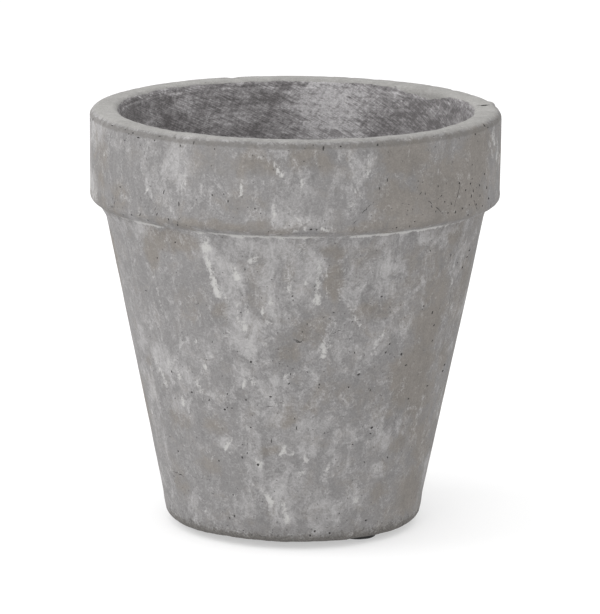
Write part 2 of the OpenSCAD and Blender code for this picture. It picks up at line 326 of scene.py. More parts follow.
# Cracks: azimuth and height of both ends, how much they bow to the left, width.
CRACKS = [
    (22.6, 178.5, 15.6, 166.5, -1.5, 0.45), (51.2, 180, 48.8, 170, 0.8, 0.5),
    (37, 183.6, 34.4, 176, 1.4, 0.5), (-0.8, 162.6, 2.6, 163.2, -0.6, 0.35),
    (2.6, 163.4, 10.2, 163, -1.3, 0.35), (-60, 31.6, -49, 32.2, 0.6, 0.4), (-56, 31.3, -51, 31.4, 0.2, 0.5),
    (-47, 32.3, -32, 33.6, 0.5, 0.2), (-22.3, 102, -20, 96, -0.6, 0.3), (10.2, 120.2, 13, 118.2, -0.8, 0.5),
    (12.8, 118, 13.6, 117.9, 0.2, 0.5), (12.8, 111.8, 15.2, 113.2, 0.7, 0.5),
    (-0.2, 109.2, 3.2, 109, -1.5, 0.5), (0.6, 108.2, 2.6, 108.2, -0.5, 0.9),
    (-57.6, 176, -58.8, 168, 0.4, 0.25), (-10, 74.4, -6.6, 74.8, 0.4, 0.3),
    (-6.6, 76.8, -3.4, 76.9, 0.1, 0.3), (60.3, 127, 61.2, 115, 0.3, 0.4), (-33.6, 164, -32, 168, 0.2, 0.3),
    (-40.4, 171, -42, 167, 0.2, 0.35), (26.5, 46.5, 29, 44.2, 0.2, 0.3), (32, 79, 34, 75, 0.4, 0.35),
    (16.2, 166, 15.8, 162, 0.3, 0.25), (94.4, 214.4, 94.9, 218.2, 0.1, 1.5),
    (95.3, 209.4, 94.2, 214.2, 0.1, 3.2), (38.5, 175, 43.8, 168.2, 0.6, 0.5),
    (45.2, 182.4, 46.6, 176.2, 0.5, 0.45), (57.4, 172, 60.2, 165.2, 0.5, 0.5),
    (53, 172.2, 51.8, 166.6, -0.4, 0.45), (-58.2, 172, -59.6, 163.4, 0.5, 0.4),
]
# Knocks on the rim: azimuth, height, radius, half size, depth (negative goes inwards).
RIM_KNOCKS = [
    (96.5, 206, 98, 1.6, -0.9), (101, 205.5, 98.5, 2.2, 0.8), (92.5, 205.5, 98, 2, -0.5),
    (-96, 200, 100, 3, -0.8), (-88, 192, 100, 3.5, 0.3), (90, 169, 99.5, 2.4, -0.7),
    (86, 166, 98, 1.8, -0.6), (-92, 206, 97, 2.5, -0.4), (60, 206.5, 96, 2, -0.3),
    (-35, 206.5, 97, 2.2, -0.3), (150, 206.5, 90, 2.5, -0.5), (-160, 206.5, 96, 2.5, -0.4),
    (12, 206, 98, 1.5, -0.35), (-140, 166, 98, 3, -0.6), (170, 167, 98, 2.5, -0.5), (125, 206, 98, 2, -0.5),
]
# Where the coat is brushed out thin and pale, then where it lies thick and dark, in the terms of PALE.
COAT_WORN = [
    (168, 193, 14, 20, 0.9), (176, 199, 7, 6, 0.6), (126, 195, 8, 3, 0.3), (136, 203, 3, 3, 0.4),
    (146, 197, 9, 8, 0.1), (220, 198, 9, 6, 0.35), (209, 188, 9, 9, 0.2), (130, 186, 5, 5, 0.1),
    (200, 190, 8, 4, 0.2), (240, 192, 8, 6, 0.15), (60, 190, 20, 12, 0.4), (-20, 180, 25, 18, 0.4),
    (20, 150, 20, 25, 0.3), (150, 120, 25, 25, 0.35), (-110, 100, 22, 30, 0.35), (80, 80, 25, 20, 0.3),
]
COAT_FULL = [
    (113, 200, 7, 4, 0.45), (142, 186, 7, 6, 0.4), (151, 182, 5, 5, 0.5), (179, 203.5, 1.6, 1.6, 1.2),
    (183, 203.5, 1.6, 1.6, 1.2), (192, 197, 9, 3, 0.4), (228, 188, 9, 6, 0.4), (178, 182, 1.6, 1.8, 0.6),
    (193.5, 181, 3, 4, 0.5), (169, 181, 3, 2, 0.5), (232, 199, 5, 5, 0.4), (250, 198, 8, 7, 0.4),
    (130, 192, 16, 10, 0.55), (204, 181, 6, 3, 0.25), (215, 183, 6, 4, 0.25), (-60, 175, 20, 20, 0.3),
]


def scattered_marks(seed, count, sizes, strengths):
    """Random patches for the sides and back: azimuth, height, half width, half height, strength."""
    random = np.random.default_rng(seed)
    marks = []
    for _ in range(count):
        azimuth = 180 + random.uniform(-105, 105)
        height = random.uniform(8, 200)
        width = random.uniform(*sizes)
        marks.append((azimuth, height, width, width * random.uniform(0.7, 1.7), random.uniform(*strengths)))
    return marks


def scattered_drips(seed, count):
    """Random drips for the sides and back, in the same terms as DRIPS."""
    random = np.random.default_rng(seed)
    drips = []
    for _ in range(count):
        azimuth = 180 + random.uniform(-110, 110)
        tip = random.choice([random.uniform(15, 150), random.uniform(178, 195)])
        length = min(random.uniform(1, 6) ** 1.6, CREASE_Z - tip if tip < CREASE_Z else RIM_Z - tip - 5)
        lean = random.normal(-1, 2)
        drips.append((azimuth, tip, azimuth + lean, tip + length, random.uniform(0.7, 2.0),
                      random.uniform(0.5, 1.0)))
    return drips


def patches(azimuth, z, marks):
    """How strongly the marks cover each place: the strongest one there."""
    cover = np.zeros(len(z))
    for centre, height, half_width, half_height, strength in marks:
        distance = np.hypot(turn_between(azimuth, centre) / half_width, (z - height) / half_height)
        cover = np.maximum(cover, strength * (1 - smooth_step(distance, 0.35, 1.35)))
    return cover


def worn_at(places):
    """How thin and pale the brushed coat is at each place."""
    wander = np.stack([noise(places, 9, 86 + i, 3) for i in range(2)], axis=1)
    azimuth = azimuth_of(places) + 5 * wander[:, 0]
    height = places[:, 2] + 3 * wander[:, 1]
    return 0.42 + 0.75 * (patches(azimuth, height, COAT_WORN) - patches(azimuth, height, COAT_FULL))


def runs(azimuth, z, r, drips):
    """How strongly the drips cover each place. A drip is widest and whitest at its tip."""
    cover = np.zeros(len(z))
    for tip, tip_z, top, top_z, width, strength in drips:
        x = np.radians(turn_between(azimuth, tip)) * r
        y = z - tip_z
        end = np.array([math.radians(turn_between(top, tip)) * DRIP_R, top_z - tip_z])
        t = np.clip((x * end[0] + y * end[1]) / max(end @ end, 0.01), 0, 1)
        distance = np.hypot(x - t * end[0], y - t * end[1]) / (max(width, 1.2) * (0.66 - 0.16 * t))
        cover = np.maximum(cover, strength * (1 - 0.5 * t) * (1 - smooth_step(distance, 0.3, 2.3)))
    return cover


# -------------------- the casting
SEGMENTS = 400
VISIBLE_STEP = 1.7
UNDERSIDE_STEP = 8
HOLLOW_STEP = 12


def in_hollow(r, z):
    return (r < wall_r(z, WALL_T) + 2) & (z > FLOOR_Z - 1)


def casting_outline():
    """Half section of the casting: the underside, the wall, the band, the rim and the hollow."""
    corners = [
        (0, BASE_Z, 0),
        (BASE_R, BASE_Z, BASE_EDGE),
        (CREASE_R, CREASE_Z, CREASE_FILLET),
        (RIM_R, CREASE_Z + BAND_STEP * math.tan(BAND_SLOPE), BAND_CORNER),
        (RIM_R, RIM_Z, RIM_OUTER_EDGE),
        (wall_r(RIM_Z, WALL_T), RIM_Z, RIM_INNER_EDGE),
        (wall_r(FLOOR_Z, WALL_T), FLOOR_Z, FLOOR_FILLET),
        (0, FLOOR_Z, 0),
    ]

    def spacing(r, z):
        if z < BASE_Z + 0.1:
            return UNDERSIDE_STEP
        if in_hollow(r, z) and z < RIM_Z - 10:
            return HOLLOW_STEP
        return VISIBLE_STEP

    return spaced(rounded(corners), spacing)


def crease_fill(points, azimuth, z):
    """Extra concrete under the band: a soft fillet on the left, a fuller lower corner on the right."""
    left = 1 - smooth_step(np.abs(turn_between(azimuth, -95)), 20, 55)
    right = 1 - smooth_step(np.abs(turn_between(azimuth, 95)), 25, 55)
    fillet = 1.7 * left + 0.4 * right + 0.2 * noise(points, 14, 23)
    corner = 0.65 * left + 0.8 * right
    return fillet * bell(z, CREASE_Z - 0.8, 2.8) + corner * bell(z, CREASE_Z + 3.6, 1.8)


def knocks(azimuth, z, r):
    """Small knocks and bulges where the rim was handled: azimuth, height, radius, half size, depth."""
    push = np.zeros(len(z))
    for centre, height, radius, size, depth in RIM_KNOCKS:
        aside = np.radians(turn_between(azimuth, centre)) * r
        distance = np.sqrt(aside ** 2 + (z - height) ** 2 + (r - radius) ** 2) / size
        push += depth * bell(distance, 0, 1)
    return push


def cast_relief(points, r, z):
    """The casting's unevenness. The hidden hollow stays true, and nothing leaves the CAD model's box."""
    azimuth = azimuth_of(points)
    push = 0.22 * noise(points, 55, 11) + 0.12 * noise(points, 17, 12, 2) + 0.06 * noise(points, 5, 14, 2)
    push -= 0.04
    low_edge = 1 - smooth_step(z, 6, 12)
    push -= low_edge * 0.35 * np.clip(noise(points, 4, 21, 2) + 0.1, 0, 1)
    push += crease_fill(points, azimuth, z) + knocks(azimuth, z, r)
    foot = 1 - smooth_step(z, 7, 16)
    push += foot * 0.55 * smooth_step(np.abs(azimuth), 30, 60)
    push -= foot * 0.45 * (1 - smooth_step(np.abs(azimuth + 10), 20, 40))
    top = smooth_step(z, RIM_Z - 5, RIM_Z - 1)
    inner = top * (1 - smooth_step(r, RIM_R - 9, RIM_R - 5))
    front = 1 - smooth_step(np.abs(azimuth), 35, 80)
    push += 0.15 * top * noise(points, 38, 25) + inner * (0.4 * noise(points, 11, 27, 2) - 0.7 * front)
    push += 0.25 * top * np.minimum(noise(points, 3.5, 29, 2), 0)
    true = in_hollow(r, z) * (1 - smooth_step(z, RIM_Z - 8, RIM_Z - 4))
    room = np.minimum(RIM_R - r, np.where(z > CREASE_Z, RIM_Z - z, z - BASE_Z))
    return np.minimum(push, np.maximum(room, 0)) * (1 - true)


def surface_at(azimuth, height):
    """Points on the outside at these azimuths and heights, with the outward direction there.

    A height over RIM_EDGE_Z goes on over the rim: the excess is the way along the surface from there.
    """
    outline = casting_outline()
    outer = outline[(outline[:, 1] > BASE_Z) & ~in_hollow(outline[:, 0], outline[:, 1])]
    steps = np.linalg.norm(np.diff(outer, axis=0, prepend=outer[:1]), axis=1)
    start = np.argmax(outer[:, 1] > RIM_EDGE_Z)
    steps[:start] = 0
    way = np.where(np.arange(len(outer)) < start, outer[:, 1], RIM_EDGE_Z + np.cumsum(steps))
    normals = outline_normals(outer)
    r, z, out_r, out_z = (np.interp(height, way, column) for column in (*outer.T, *normals.T))
    points = polar(azimuth, r, z)
    out = polar(azimuth, out_r, out_z)
    out /= np.linalg.norm(out, axis=1)[:, None]
    return points + out * cast_relief(points, r, z)[:, None], out


def scattered_pores(seed, count, placed):
    """Random pores all round, clear of each other and of the placed ones; the front only gets fine ones."""
    random = np.random.default_rng(seed)
    pores = []
    taken = [(a, z, length) for a, z, length, *_ in placed]
    while len(pores) < count:
        azimuth = random.uniform(-180, 180)
        z = random.choice([random.uniform(5, 204), random.uniform(4, 12), random.uniform(199, 205)],
                          p=[0.72, 0.16, 0.12])
        length = 0.5 + 0.25 * random.exponential()
        if abs(azimuth) > 62:
            length *= random.uniform(1, 1.9)
        if abs(z - CREASE_Z) < 3 or length > 2.4:
            continue
        gaps = (math.hypot(math.radians(turn_between(azimuth, a)) * PORE_R, z - h) - (length + n) / 2 - 0.4
                for a, h, n in taken)
        if min(gaps) < 0:
            continue
        taken.append((azimuth, z, length))
        pores.append((azimuth, z, length, length * random.uniform(0.45, 0.95), random.uniform(-90, 90)))
    return pores


def pore_cutter(pores):
    """One mesh of separate lumpy blobs, each half sunk in the wall where its pore goes."""
    random = np.random.default_rng(5)
    azimuth, z = (np.array([pore[i] for pore in pores], float) for i in (0, 1))
    places, outs = surface_at(azimuth, z)
    ball = bmesh.new()
    bmesh.ops.create_icosphere(ball, subdivisions=2, radius=1)
    sphere = np.array([v.co for v in ball.verts])
    triangles = [[v.index for v in face.verts] for face in ball.faces]
    ball.free()
    vertices, faces = [], []
    for pore, place, out in zip(pores, places, outs):
        length, width, tilt = pore[2], pore[3], math.radians(pore[4])
        across = np.cross([0, 0, 1], out)
        across /= np.linalg.norm(across)
        upward = np.cross(out, across)
        long_way = upward * math.cos(tilt) + across * math.sin(tilt)
        short_way = across * math.cos(tilt) - upward * math.sin(tilt)
        lumps = 1 + 0.22 * noise(sphere + random.uniform(0, 20, 3), 0.8, 31)
        shape = sphere * lumps[:, None]
        depth = min(0.75 * width, 0.9)
        placed = place + out * 0.12 * depth + shape[:, :1] * short_way * width / 2
        placed = placed + shape[:, 1:2] * long_way * length / 2 + shape[:, 2:] * out * depth
        start = len(vertices)
        vertices += placed.tolist()
        faces += [tuple(start + i for i in triangle) for triangle in triangles]
    return mesh_object("pore_cutter", vertices, faces)


def crack_cutter(cracks):
    """One mesh of thin four-sided slivers that follow the cracks."""
    vertices, faces = [], []
    for number, (start_a, start_z, end_a, end_z, bow, width) in enumerate(cracks):
        run = math.hypot(math.radians(end_a - start_a) * CRACK_R, end_z - start_z)
        count = max(4, math.ceil(run / 0.6))
        t = np.linspace(0, 1, count)
        wander = 0.6 * noise(np.stack([t * run, t * 0 + number * 7, t * 0], axis=1), 1.5, 41, 3)
        side = (0.4 * bow * 4 * t * (1 - t) + wander * np.sin(math.pi * t) ** 0.5) / run
        run_a, run_z = end_a - start_a, end_z - start_z
        azimuth = start_a + run_a * t - side * math.degrees(run_z / CRACK_R)
        z = start_z + run_z * t + side * math.radians(run_a) * CRACK_R
        places, outs = surface_at(azimuth, z)
        along = np.gradient(places, axis=0)
        across = np.cross(along, outs)
        across /= np.linalg.norm(across, axis=1)[:, None]
        half = width * (0.2 + 0.2 * np.sin(math.pi * t)) * (1 + 0.5 * wander)
        open_here = np.maximum(smooth_step(noise(places, 1.4, 43 + number), -0.3, 0.3), float(width > 1))
        deep = open_here * (0.3 + 1.4 * half) - 0.1
        first = len(vertices)
        for place, out, aside, w, d in zip(places, outs, across, half, deep):
            vertices += [place + aside * w, place - out * d, place - aside * w, place + out * 0.4]
        for i in range(count - 1):
            for j in range(4):
                a, b = first + 4 * i + j, first + 4 * i + (j + 1) % 4
                faces.append((a, b, b + 4, a + 4))
        faces.append(tuple(first + j for j in (3, 2, 1, 0)))
        faces.append(tuple(first + 4 * (count - 1) + j for j in (0, 1, 2, 3)))
    thing = mesh_object("crack_cutter", vertices, faces)
    shell = bmesh.new()
    shell.from_mesh(thing.data)
    bmesh.ops.recalc_face_normals(shell, faces=shell.faces)
    shell.to_mesh(thing.data)
    shell.free()
    return thing


def cut(thing, cutter):
    """Takes the cutter out of thing. The faces it leaves have material index 1."""
    cutter.data.materials.append(bpy.data.materials.get("cut") or bpy.data.materials.new("cut"))
    if not thing.data.materials:
        thing.data.materials.append(bpy.data.materials.new("uncut"))
    modifier = thing.modifiers.new("cut", "BOOLEAN")
    modifier.object = cutter
    modifier.operation = "DIFFERENCE"
    modifier.solver = "MANIFOLD"
    modifier.material_mode = "TRANSFER"
    bpy.context.view_layer.update()
    result = bpy.data.meshes.new_from_object(thing.evaluated_get(bpy.context.evaluated_depsgraph_get()))
    thing.modifiers.clear()
    thing.data = result
    bpy.data.objects.remove(cutter)


def vertex_places(mesh):
    """The mesh's vertices in millimetres."""
    places = np.empty(len(mesh.vertices) * 3)
    mesh.vertices.foreach_get("co", places)
    return places.reshape(-1, 3) / MM


def paint(mesh, name, values, domain="POINT"):
    layer = mesh.attributes.new(name, "FLOAT", domain)
    layer.data.foreach_set("value", np.asarray(values, np.float32))


def mark_pores(mesh):
    """Turns the cut faces' material index into an attribute, and gives each pore a sharp edge."""
    inside = np.empty(len(mesh.polygons), int)
    mesh.polygons.foreach_get("material_index", inside)
    paint(mesh, "pore", inside > 0, "FACE")
    mesh.polygons.foreach_set("material_index", np.zeros(len(inside), int))
    shape = bmesh.new()
    shape.from_mesh(mesh)
    for edge in shape.edges:
        sides = {inside[face.index] > 0 for face in edge.link_faces}
        edge.smooth = len(sides) == 1
    shape.to_mesh(mesh)
    shape.free()


def stain(mesh):
    """Paints what has run, dried or rubbed on the casting's outside, and some painted light and shade, as
    attributes for its material.
    """
    places = vertex_places(mesh)
    z, r = places[:, 2], np.hypot(places[:, 0], places[:, 1])
    wander = np.stack([noise(places, 7, 51 + i, 3) for i in range(2)], axis=1)
    azimuth = azimuth_of(places) + 2.4 * wander[:, 0]
    height = z + 3.4 * wander[:, 1]
    pale = patches(azimuth, height, PALE + scattered_marks(61, 60, (4, 13), (0.25, 0.7)))
    under_band = bell(z, CREASE_Z - 3, 4) * smooth_step(noise(places, 14, 65, 2), -0.3, 0.4)
    pale = np.maximum(pale, 0.5 * under_band)
    warm = patches(azimuth, height, WARM + scattered_marks(62, 50, (5, 13), (0.3, 0.8)))
    fine = 0.35 * np.stack([noise(places, 3, 55 + i, 2) for i in range(2)], axis=1)
    drip = runs(azimuth_of(places) + fine[:, 0], z + fine[:, 1], r, DRIPS + scattered_drips(63, 90))
    # The pale line along the crease under the band: lime in the fillet, and partly a painted highlight,
    # brightest at the front left and fainter at the sides.
    line = smooth_step(noise(places, 16, 64, 2), -0.45, 0.1)
    line = line * (1 - 0.5 * smooth_step(np.abs(azimuth), 45, 62))
    line = np.maximum(line, 1.1 - smooth_step(np.abs(azimuth + 9), 13, 20)) * (r > CREASE_R - 3)
    inside = in_hollow(r, z)
    # The rim's top: its own warmer, smoother grey, and partly painted top light that makes it lighter than
    # the walls; a little less at the front.
    front = 1 - smooth_step(np.abs(azimuth), 40, 80)
    top = (smooth_step(z, RIM_Z - 1.3, RIM_Z - 0.4) + inside) * (1 - 0.2 * front)
    bare = 1 - smooth_step(np.abs(turn_between(azimuth, 132)), 4, 16)
    edge_z = RIM_Z - 1.2 - 2.8 * bare + 0.7 * noise(places, 9, 66, 3)
    paint(mesh, "rim", np.clip(top, 0, 1))
    paint(mesh, "lip", smooth_step(edge_z - z, -0.5, 0.7) * inside)
    paint(mesh, "worn", worn_at(places))
    paint(mesh, "bloom", pale)
    # A broad warmer, darker stretch on the right side: its own warmer tone, and partly painted shade on the
    # side away from the lamps.
    paint(mesh, "warm", warm + 0.2 * smooth_step(azimuth, 15, 50) * (1 - smooth_step(azimuth, 90, 130)))
    paint(mesh, "drip", drip)
    paint(mesh, "edge", (r > RIM_R - 6) * smooth_step(z, RIM_Z - 8, RIM_Z - 6))
    paint(mesh, "crease", line)


def cast_pot():
    """The concrete casting, with its pores and cracks."""
    pot = revolve("concrete_pot", casting_outline(), SEGMENTS, cast_relief)
    cut(pot, pore_cutter(PORES + scattered_pores(71, 260, PORES)))
    cut(pot, crack_cutter(CRACKS))
    mark_pores(pot.data)
    stain(pot.data)
    outline = casting_outline()
    lip = (wall_r(RIM_Z - 6, WALL_T), RIM_Z - 6)
    shown = way_along(outline, np.array([(BASE_R - BASE_EDGE, BASE_Z), lip]))
    bake_layout(pot.data, outline, shown)
    return pot


def way_along(outline, points):
    """How far along the outline each point (r, z) lies, in millimetres."""
    starts, runs_on = outline[:-1], np.diff(outline, axis=0)
    lengths = np.linalg.norm(runs_on, axis=1)
    before = np.concatenate([[0], np.cumsum(lengths)[:-1]])
    nearest, way = np.full(len(points), np.inf), np.zeros(len(points))
    for start, run, length, so_far in zip(starts, runs_on, lengths, before):
        t = np.clip((points - start) @ run / length ** 2, 0, 1)
        distance = np.linalg.norm(points - start - t[:, None] * run, axis=1)
        closer = distance < nearest
        nearest[closer] = distance[closer]
        way[closer] = so_far + t[closer] * length
    return way


def bake_layout(mesh, outline, shown):
    """A texture layout in strips: the shown stretch of the outline gets two tall ones, the rest a low one.

    The two tall strips are the front and the back half, unrolled; shown is the stretch's start and end in
    millimetres along the outline.
    """
    places = vertex_places(mesh)
    azimuth = azimuth_of(places)
    way = way_along(outline, np.stack([np.hypot(places[:, 0], places[:, 1]), places[:, 2]], axis=1))
    corners = np.empty(len(mesh.loops), int)
    mesh.loops.foreach_get("vertex_index", corners)
    sizes = np.empty(len(mesh.polygons), int)
    mesh.polygons.foreach_get("loop_total", sizes)
    face = np.repeat(np.arange(len(sizes)), sizes)
    east = np.bincount(face, np.sin(np.radians(azimuth[corners]))) / sizes
    north = np.bincount(face, np.cos(np.radians(azimuth[corners]))) / sizes
    middle = np.degrees(np.arctan2(east, north))[face]
    middle_way = (np.bincount(face, way[corners]) / sizes)[face]
    is_shown = (middle_way > shown[0]) & (middle_way < shown[1])
    is_back = np.abs(middle) > 90
    turn = middle + turn_between(azimuth[corners], middle)
    half = np.where(is_back, (turn % 360) - 90, turn + 90) / 180
    share = np.clip((way[corners] - shown[0]) / (shown[1] - shown[0]), -0.01, 1.01)
    total = np.linalg.norm(np.diff(outline, axis=0), axis=1).sum()
    u = np.where(is_shown, half, (turn + 180) / 360)
    v = np.where(is_shown, np.where(is_back, 0.12, 0.57) + 0.41 * share, 0.01 + 0.08 * way[corners] / total)
    layer = mesh.uv_layers.new(name="OFBake")
    layer.uv.foreach_set("vector", np.stack([0.01 + 0.98 * u, v], axis=1).astype(np.float32).ravel())


# -------------------- the brushed coat inside
COAT_SEGMENTS = 400
COAT_BACK = 0.3
COAT_FEATHER = 9
EDGE_FROM_Z = 190


def coat_outline():
    """Half section of the coat: its face up the floor and wall, then its back, sunk into the concrete."""
    top_z = coat_high.z
    face = rounded([
        (0, FLOOR_Z + COAT_T, 0),
        (wall_r(FLOOR_Z + COAT_T, WALL_T + COAT_T), FLOOR_Z + COAT_T, FLOOR_FILLET - COAT_T),
        (wall_r(top_z - COAT_FEATHER, WALL_T + COAT_T), top_z - COAT_FEATHER, 0),
        (wall_r(top_z, WALL_T + 0.05), top_z, 0),
    ])
    back = rounded([
        (wall_r(top_z - 0.5, WALL_T - COAT_BACK), top_z - 0.5, 0),
        (wall_r(FLOOR_Z - COAT_BACK, WALL_T - COAT_BACK), FLOOR_Z - COAT_BACK, FLOOR_FILLET + COAT_BACK),
        (0, FLOOR_Z - COAT_BACK, 0),
    ])
    face = spaced(face, lambda r, z: 1.5 if z > FLOOR_Z + 5 else 2.5)
    return np.concatenate([face, spaced(back, lambda r, z: HOLLOW_STEP)])[::-1]


def coat_relief(points, r, z):
    """Brush ridges and thicker runs on the coat's face."""
    face = r < wall_r(z, WALL_T + 0.02)
    thick = 0.12 * noise(points, 22, 81, 2) + 0.07 * noise(points * [1, 1, 2.2], 6, 83, 2) - 0.06
    return np.where(face & (z < coat_high.z - 1.5), thick, 0)


def brush_coat():
    """The sealing coat on the inside, whose upper edge wanders as a brush leaves it."""
    coat = revolve("brushed_sealer", coat_outline(), COAT_SEGMENTS, coat_relief)
    places = vertex_places(coat.data)
    azimuth = np.radians(azimuth_of(places))
    ring = np.stack([90 * np.sin(azimuth), 90 * np.cos(azimuth), 0 * azimuth], axis=1)
    drop = 0.3 + 0.5 * noise(ring, 24, 85, 3) + 0.35 * noise(ring, 5, 88, 2)
    share = np.clip((places[:, 2] - EDGE_FROM_Z) / (coat_high.z - EDGE_FROM_Z), 0, 1)
    fall = np.clip(drop, 0, 3) * share
    radius = np.hypot(places[:, 0], places[:, 1])
    places[:, :2] *= (1 - fall * math.tan(LEAN) / np.maximum(radius, 1))[:, None]
    places[:, 2] -= fall
    coat.data.vertices.foreach_set("co", (places * MM).ravel())
    paint(coat.data, "worn", worn_at(places))
    outline = coat_outline()
    ends = np.array([(0, FLOOR_Z + COAT_T), (wall_r(coat_high.z, WALL_T), coat_high.z)])
    bake_layout(coat.data, outline, np.sort(way_along(outline, ends)))
    return coat


# -------------------- the foot pads
def foot_pad(node, number):
    """A moulded rubber disc with a rounded edge and a shallow dish underneath, where its CAD node is."""
    low, high = (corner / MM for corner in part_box(node))
    radius, height = (high.x - low.x) / 2, high.z
    outline = spaced(rounded([
        (0, 0.25, 0),
        (radius - 3.0, 0.25, 0.6),
        (radius - 2.4, 0, 0.4),
        (radius, 0, 0.6),
        (radius, height, 0.3),
        (0, height, 0),
    ]), lambda r, z: 1.2)
    pad = revolve(f"rubber_pad_{number}", outline, 96, lambda p, r, z: 0.04 * noise(p, 3, 90 + number) - 0.04)
    pad.location = Vector(((low.x + high.x) / 2, (low.y + high.y) / 2, 0)) * MM
    return pad


# -------------------- materials
class Shading:
    """One material's node tree. Each method adds a node and returns its output."""

    def __init__(self, name):
        self.material = bpy.data.materials.new(name)
        self.material.use_nodes = True
        self.tree = self.material.node_tree
        self.shader = self.tree.nodes["Principled BSDF"]
        self.place = self.tree.nodes.new("ShaderNodeTexCoord").outputs["Object"]

    def give(self, socket, value):
        if isinstance(value, bpy.types.NodeSocket):
            self.tree.links.new(value, socket)
        else:
            socket.default_value = value

    def add(self, kind, inputs, output=0, **settings):
        node = self.tree.nodes.new(kind)
        for key, value in settings.items():
            setattr(node, key, value)
        for key, value in inputs.items():
            self.give(node.inputs[key], value)
        return node.outputs[output]

    def attribute(self, name):
        return self.add("ShaderNodeAttribute", {}, "Fac", attribute_name=name)

    def math(self, operation, a, b=0.0):
        return self.add("ShaderNodeMath", {0: a, 1: b}, operation=operation)

    def times(self, a, b):
        return self.math("MULTIPLY", a, b)

    def plus(self, a, b):
        return self.math("ADD", a, b)

    def total(self, start, *parts):
        """start, a number, plus each part's value times its weight."""
        for value, weight in parts:
            start = self.plus(self.times(value, weight), start)
        return start

    def stretched(self, scale):
        return self.add("ShaderNodeMapping", {"Vector": self.place, "Scale": scale})

    def noise(self, cell, detail=3.0, roughness=0.5, at=None, distortion=0.0):
        """Noise from 0 to 1 whose features are about cell millimetres across."""
        inputs = {"Vector": at or self.place, "Scale": 1 / (cell * MM), "Detail": detail,
                  "Roughness": roughness, "Distortion": distortion}
        return self.add("ShaderNodeTexNoise", inputs)

    def level(self, value, low, high, to_low=0.0, to_high=1.0):
        """Value carried smoothly from the range low..high to the range to_low..to_high."""
        inputs = {"Value": value, "From Min": low, "From Max": high, "To Min": to_low, "To Max": to_high}
        return self.add("ShaderNodeMapRange", inputs, interpolation_type="SMOOTHSTEP")

    def mix(self, share, a, b):
        return self.add("ShaderNodeMix", {0: share, 6: a, 7: b}, 2, data_type="RGBA")

    def dots(self, cell, size, share):
        """Small round dots, 1 in the middle and 0 outside, in a share of cells of that size."""
        inputs = {"Vector": self.place, "Scale": 1 / (cell * MM), "Randomness": 1.0}
        cells = self.tree.nodes.new("ShaderNodeTexVoronoi")
        for key, value in inputs.items():
            self.give(cells.inputs[key], value)
        lot = self.add("ShaderNodeSeparateColor", {0: cells.outputs["Color"]})
        chosen = self.level(lot, 1 - share, 1.001 - share)
        return self.times(self.level(cells.outputs["Distance"], size / cell, 0.45 * size / cell), chosen)

    def tint(self, colour, brightness):
        """The colour made lighter or darker by a grey factor that varies over the surface."""
        grey = self.add("ShaderNodeCombineColor", {0: brightness, 1: brightness, 2: brightness})
        inputs = {0: 1.0, 6: colour, 7: grey}
        return self.add("ShaderNodeMix", inputs, 2, data_type="RGBA", blend_type="MULTIPLY")

    def bumps(self, height, depth, under=None):
        inputs = {"Height": height, "Distance": depth * MM, "Strength": 1.0}
        if under:
            inputs["Normal"] = under
        return self.add("ShaderNodeBump", inputs)

    def finish(self, **sockets):
        for key, value in sockets.items():
            self.give(self.shader.inputs[key.replace("_", " ")], value)
        return self.material


COOL_GREY = (0.183, 0.178, 0.177, 1)
WARM_GREY = (0.171, 0.158, 0.145, 1)
PALE_GREY = (0.325, 0.318, 0.317, 1)
RIM_TONE_AND_TOP_LIGHT_GREY = (0.240, 0.235, 0.225, 1)
LIME_WHITE = (0.400, 0.393, 0.384, 1)
PORE_DIRT_AND_SHADE_GREY = (0.055, 0.053, 0.051, 1)
FOOT_GREY = (0.088, 0.081, 0.073, 1)
COAT_DARK = (0.088, 0.082, 0.083, 1)
COAT_MID = (0.172, 0.164, 0.166, 1)
COAT_LIGHT = (0.330, 0.321, 0.324, 1)


def coat_colour(s, worn):
    """The brushed coat's colour, with crossing brush streaks and blotches, and where it is pale.

    Also returns the streaks that lean down to the right and the level ones, for bumps.
    """

    def strokes(turn, cell):
        """Fine streaks that climb round the wall; turn is in radians for each metre of height."""
        height = s.add("ShaderNodeSeparateXYZ", {0: s.place}, "Z")
        twisted = s.add("ShaderNodeVectorRotate", {"Vector": s.place, "Angle": s.times(height, turn)},
                        rotation_type="Z_AXIS")
        thin = s.add("ShaderNodeMapping", {"Vector": twisted, "Scale": (1, 1, 0.12)})
        return s.noise(cell, 4, 0.65, at=thin)

    blotch = s.noise(5, 7, 0.70, distortion=0.8)
    fine = s.noise(1.2, 4, 0.72)
    down_right = strokes(-26, 1.0)
    down_left = strokes(10, 1.6)
    level = s.noise(4.5, 5, 0.65, at=s.stretched((0.35, 0.35, 3)))
    tone = s.total(-4.0, (worn, 1), (blotch, 2.4), (level, 1.8), (down_right, 2.6), (down_left, 1.2))
    colour = s.mix(s.level(tone, -0.1, 0.55), COAT_DARK, COAT_MID)
    light = s.level(tone, 0.45, 1.2)
    colour = s.mix(light, colour, COAT_LIGHT)
    colour = s.tint(colour, s.level(fine, 0.3, 0.7, 0.76, 1.24))
    # Pinholes in the coat painted dark: dirt in them, and partly painted shade.
    colour = s.mix(s.times(s.dots(6, 0.6, 0.1), 0.6), colour, PORE_DIRT_AND_SHADE_GREY)
    return colour, light, down_right, level


